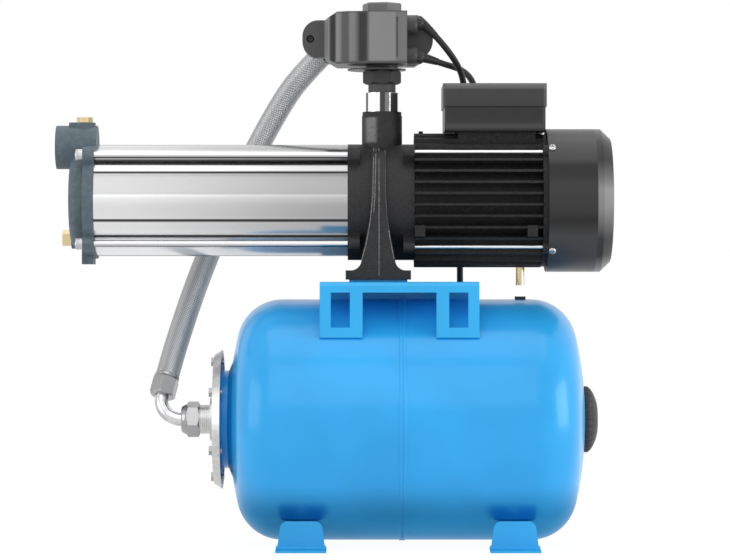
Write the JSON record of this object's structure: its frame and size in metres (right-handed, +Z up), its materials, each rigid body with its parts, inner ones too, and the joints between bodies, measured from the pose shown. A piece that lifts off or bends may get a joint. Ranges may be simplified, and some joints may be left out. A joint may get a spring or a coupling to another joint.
{
  "type": "booster pump station",
  "caption": "Horizontal multistage pump and motor on a horizontal pressure tank, with a flow controller on the outlet, a braided hose to the tank and a mains cord.",
  "frame": {"origin": "middle of the four floor bolt holes in the tank's feet, on the floor", "axes": "+Z up, +X along the tank and the pump from the suction port to the motor's fan, +Y to the back, away from the camera of the picture"},
  "size_m": [0.6375, 0.4099, 0.6225],
  "materials": {
    "tank_blue": "gloss",
    "dark_blue": "gloss",
    "frame_blue": "gloss",
    "zinc": "zinc plated",
    "rubber": "matte",
    "brass": "satin",
    "black_plastic": "satin",
    "white_plastic": "satin",
    "grey_plastic": "satin",
    "button_red": "gloss",
    "board_green": "satin",
    "cast_grey": "painted casting",
    "cast_black": "painted casting",
    "motor_black": "black paint",
    "cover_black": "black paint",
    "polished_steel": "polished",
    "chrome": "chrome plated",
    "carbon": "lapped",
    "copper": "enamelled",
    "core_steel": "machined",
    "braid": "woven stainless wire",
    "cable_black": "matte"
  },
  "bodies": {
    "station": {"tank_left_half": "tank_blue", "tank_right_half": "tank_blue", "tank_neck": "dark_blue", "tank_membrane": "rubber", "tank_flange": "zinc", "flange_bolts": "zinc", "air_valve": "brass", "tank_feet": "frame_blue", "platform": "frame_blue", "pump_bolts": "zinc", "suction_head": "cast_grey", "pump_sleeve": "polished_steel", "sleeve_seals": "rubber", "pump_tie_rods": "polished_steel", "diffuser_1": "white_plastic", "diffuser_2": "white_plastic", "diffuser_3": "white_plastic", "diffuser_4": "white_plastic", "seal_seat": "carbon", "discharge_casing": "cast_black", "motor_housing": "motor_black", "stator": "copper", "motor_bearings": "core_steel", "motor_end_shield": "motor_black", "motor_tie_rods": "polished_steel", "fan_cover": "cover_black", "fan_cover_screws": "polished_steel", "support_stud": "brass", "support_pad": "rubber", "terminal_box": "black_plastic", "terminal_lid": "black_plastic", "run_capacitor": "white_plastic", "port_adapter": "chrome", "union_nut": "black_plastic", "controller_body": "grey_plastic", "controller_cover": "grey_plastic", "circuit_board": "board_green", "cable_glands": "black_plastic", "tank_union_nut": "chrome", "hose_elbow": "chrome", "hose_nuts": "chrome", "braided_hose": "braid", "motor_lead": "cable_black", "mains_cord": "cable_black", "mains_coil": "cable_black", "mains_plug": "black_plastic"},
    "rotor": {"pump_shaft": "polished_steel", "impeller_1": "white_plastic", "impeller_2": "white_plastic", "impeller_3": "white_plastic", "impeller_4": "white_plastic", "seal_ring": "carbon", "rotor_core": "core_steel", "cooling_fan": "black_plastic"},
    "valve_cap": {"air_valve_cap": "black_plastic"},
    "filling_plug": {"fill_plug": "brass"},
    "draining_plug": {"drain_plug": "brass"},
    "cap_on_outlet": {"outlet_cap": "black_plastic"},
    "button": {"restart_button": "button_red"},
    "poppet": {"flow_poppet": "white_plastic"}
  },
  "joints": [
    {"name": "rotor_spin", "type": "hinge", "parent": "station", "child": "rotor", "pos_m": [0, 0, 0.396], "axis": [1, 0, 0], "continuous": true},
    {"name": "valve_cap_pull", "type": "slide", "parent": "station", "child": "valve_cap", "axis": [1, 0, 0], "range_m": [0, 0.02]},
    {"name": "fill_plug_lift", "type": "slide", "parent": "station", "child": "filling_plug", "axis": [0, 0, 1], "range_m": [0, 0.02]},
    {"name": "drain_plug_pull", "type": "slide", "parent": "station", "child": "draining_plug", "axis": [-1, 0, 0], "range_m": [0, 0.015]},
    {"name": "outlet_cap_lift", "type": "slide", "parent": "station", "child": "cap_on_outlet", "axis": [0, 0, 1], "range_m": [0, 0.025]},
    {"name": "restart_button_press", "type": "slide", "parent": "station", "child": "button", "axis": [0, -1, 0], "range_m": [0, 0.0015], "stiffness_N_per_m": 400, "springref_m": -0.003},
    {"name": "flow_poppet_lift", "type": "slide", "parent": "station", "child": "poppet", "axis": [0, 0, 1], "range_m": [0, 0.008], "stiffness_N_per_m": 60, "springref_m": -0.004}
  ]
}
